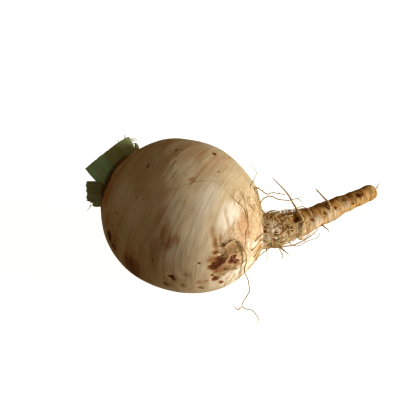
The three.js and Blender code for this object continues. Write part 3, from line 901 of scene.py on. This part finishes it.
for name, (thick, thin, lift, route) in lyingRoots.items():
    points = [besideRoot(distance, degrees, lift) for distance, degrees in route]
    points = [besideRoot(*route[0], -1)] + points + [besideRoot(*route[-1], -0.8)]
    line = wobbled(curveThrough(points, sideRoots["step"]), sideRoots["wobble"], 4)
    radii = taper(len(line), thick, thin, 0.3)
    pieceFromTubes(name + "_fine", [(line, radii, sideRoots["sides"])], strawMaterial, [name])

for name, (thick, thin, route) in freeRoots.items():
    points = [Vector(point) for point in route]
    lowest = thick * 1.35  # keeps the whole root on the floor
    for point in points:
        point.z = max(point.z, lowest)
    if name != "trailing_root_fork":
        points = sunkenStart(points)
    line = wobbled(curveThrough(points, sideRoots["step"]), sideRoots["wobble"], 4)
    for point in line:
        point.z = max(point.z, lowest)
    radii = taper(len(line), thick, thin)
    pieceFromTubes(name + "_fine", [(line, radii, sideRoots["sides"])], strawMaterial, [name])
print("side roots grown")

hairs = {
    "neckCount": 110,
    "shoulderCount": 46,
    "netCount": 110,
    "step": 0.9,  # mm
}


def crawlingHair(distance, degrees, heading, length, lift, curl, radius, limits):
    step = hairs["step"]
    points = []
    tag = random.random() * 100
    for i in range(max(4, int(length / step))):
        fraction = i * step / length
        arch = lift * math.sin(math.pi * min(1, fraction * 1.05)) * 1.4
        points.append(besideRoot(distance, degrees, 0.12 + arch if i else -0.5))
        heading += curl * noise.noise(Vector((i * 0.22, tag, 0))) + 0.25 * curl * (random.random() - 0.5)
        distance += step * math.cos(heading)
        degrees += math.degrees(step * math.sin(heading) / max(4, rootRadius(distance)))
        distance = min(max(distance, limits[0]), limits[1])
    points.append(besideRoot(distance, degrees, -0.3))
    return points, taper(len(points), radius, radius * 0.55, 1.2), 4


def neckHairs():
    tubes = []
    for i in range(hairs["neckCount"]):
        distance = random.uniform(101, 134)
        tubes.append(crawlingHair(distance, random.uniform(0, 360), random.uniform(0, 2 * math.pi),
                                  random.uniform(7, 22), random.uniform(0.2, 1.6), 0.9,
                                  random.uniform(0.14, 0.38), (98, 140)))
    return pieceFromTubes("neck_hairs", tubes, goldMaterial, ())


def shoulderHairs():
    tubes = []
    for i in range(hairs["shoulderCount"]):
        distance = random.uniform(92, 105)
        heading = math.pi / 2 + random.uniform(-0.35, 0.35)
        tubes.append(crawlingHair(distance, random.uniform(0, 360), heading, random.uniform(10, 34),
                                  random.uniform(0.05, 0.5), 0.28, random.uniform(0.08, 0.17), (90, 110)))
    return pieceFromTubes("shoulder_hairs", tubes, goldMaterial, ())


def grooveNet():
    tubes = []
    for i in range(hairs["netCount"]):
        distance = random.uniform(89, 99)
        degrees = random.uniform(56, 68) if i % 3 else random.uniform(84, 90)  # keeps off the holes
        tubes.append(crawlingHair(distance, degrees, random.uniform(0, 2 * math.pi), random.uniform(3, 8),
                                  random.uniform(0.1, 0.6), 0.9, random.uniform(0.09, 0.2), (85, 101)))
    return pieceFromTubes("groove_net", tubes, strawMaterial, ())


# small branches of the free roots: radius, then points in mm
twigs = [
    (0.2, [(43, -35.3, 10), (45, -36.2, 9.6), (47.2, -37.2, 8.6)]),
    (0.22, [(72.5, -6.5, 68.2), (75.5, -5.8, 68.9), (78.6, -5.2, 69.3)]),
    (0.25, [(48.5, -2.2, 73.9), (49.6, -0.6, 75.2), (51.2, 0.2, 75.8)]),
    (0.22, [(50.6, -3, 73), (52.6, -2.4, 73.6), (54, -2.6, 73.2)]),
    (0.18, [(61.5, -4.6, 71.8), (63.6, -3.4, 72.4), (66, -3.2, 72.2)]),
    (0.18, [(64.3, -28.2, 43.2), (63.6, -30.4, 41.2), (64.4, -32.4, 39.4)]),
    (0.16, [(66.8, -30.2, 42), (69, -31, 41.2), (70.4, -30.8, 41.4)]),
    (0.14, [(77.4, -24.4, 49), (79, -26.4, 47.6), (79.4, -27.6, 46.6)]),
    (0.14, [(40, -42.4, 61), (41.6, -43.6, 60), (42.6, -43.8, 58.6)]),
]
tipHairRoute = [(127, 17.6, 48), (130.4, 19.4, 48.6), (131.8, 20.8, 50.4), (133.4, 23, 52.6)]


def rootTwigs():
    tubes = []
    for radius, route in twigs:
        line = wobbled(curveThrough([Vector(point) for point in route], 0.8), 0.2, 2)
        tubes.append((line, taper(len(line), radius, radius * 0.5, 1.2), 5))
    return pieceFromTubes("root_twigs", tubes, strawMaterial, ())


def stalkFibres():
    tubes = []
    for radius, route in stalks["fibreTips"]:
        line = wobbled(curveThrough([Vector(point) for point in route], 0.6), 0.25, 1.5)
        tubes.append((line, taper(len(line), radius, radius * 0.3, 1.4), 6))
    return pieceFromTubes("stalk_fibres", tubes, stalkMaterials["yellow"], ())


def tipHair():
    points = [Vector(point) for point in tipHairRoute]
    line = wobbled(curveThrough(points, sideRoots["step"]), 0.2, 3)
    return pieceFromTubes("tip_hair", [(line, taper(len(line), 0.7, 0.14), 6)], strawMaterial, ())


neckHairs()
shoulderHairs()
grooveNet()
rootTwigs()
stalkFibres()
tipHair()
print("hairs grown")

studio = {
    "floor": "#fbfaf8",
    "floorGlow": 1.0,
    "lightAim": (0.02, 0, 0.045),
    "lightDistance": 1.1,
    "lightSize": 0.4,
    # name: power, the side it comes from, colour
    "lights": {
        "key": (13.9, (0.95, -0.24, 0.22), "#fffcf1"),
        "low": (6.4, (0.86, -0.34, -0.38), "#ffeed6"),  # from under the floor, which lets it through
        "back": (3.0, (-0.3, 0.85, -0.5), "#fff8ee"),  # from under the floor too, on the far side
    },
    "ambient": "#615138",
    "ambientStrength": 1.0,
}


def paleMaterial(name, glow, matte):
    material, tree = newMaterial(name)
    shader = addNode(tree, "BsdfPrincipled", {}, {
        "Base Color": matte, "Roughness": 0.9, "Emission Color": studio["floor"], "Emission Strength": glow})
    addNode(tree, "OutputMaterial", {}, {"Surface": shader})
    return material


def stagePiece(name, bm, material):
    mesh = bpy.data.meshes.new(name)
    bm.to_mesh(mesh)
    bm.free()
    piece = bpy.data.objects.new(name, mesh)
    bpy.context.scene.collection.objects.link(piece)
    mesh.materials.append(material)
    piece.visible_diffuse = False  # keeps its glow off the turnip
    piece.visible_glossy = False
    piece.visible_shadow = False  # lets the low and back lights through
    return piece


def makeFloor():
    bm = bmesh.new()
    bmesh.ops.create_grid(bm, x_segments=2, y_segments=2, size=3)
    stagePiece("floor", bm, paleMaterial("pale_paper", studio["floorGlow"], studio["floor"]))
    bm = bmesh.new()
    bmesh.ops.create_cone(bm, cap_ends=True, cap_tris=False, segments=64, radius1=2.9, radius2=2.9, depth=6)
    stagePiece("backdrop", bm, paleMaterial("pale_backdrop", studio["floorGlow"], "#000000"))


def makeLight(name):
    power, direction, colour = studio["lights"][name]
    data = bpy.data.lights.new(name, "AREA")
    data.energy = power
    data.size = studio["lightSize"]
    data.color = linear(colour)[:3]
    light = bpy.data.objects.new(name, data)
    middle = Vector(studio["lightAim"])
    light.location = middle + Vector(direction).normalized() * studio["lightDistance"]
    light.rotation_euler = (middle - light.location).to_track_quat("-Z", "Y").to_euler()
    light.visible_glossy = name != "back"  # keeps a pale sheen off the far edge
    bpy.context.scene.collection.objects.link(light)


def makeStudio():
    makeFloor()
    for name in studio["lights"]:
        makeLight(name)
    world = bpy.data.worlds.new("studio")
    world.use_nodes = True
    background = world.node_tree.nodes["Background"]
    background.inputs[0].default_value = linear(studio["ambient"])
    background.inputs[1].default_value = studio["ambientStrength"]
    bpy.context.scene.world = world
    bpy.context.scene.view_settings.view_transform = "Standard"
    bpy.context.scene.view_settings.look = "None"


makeStudio()
print("studio lit")
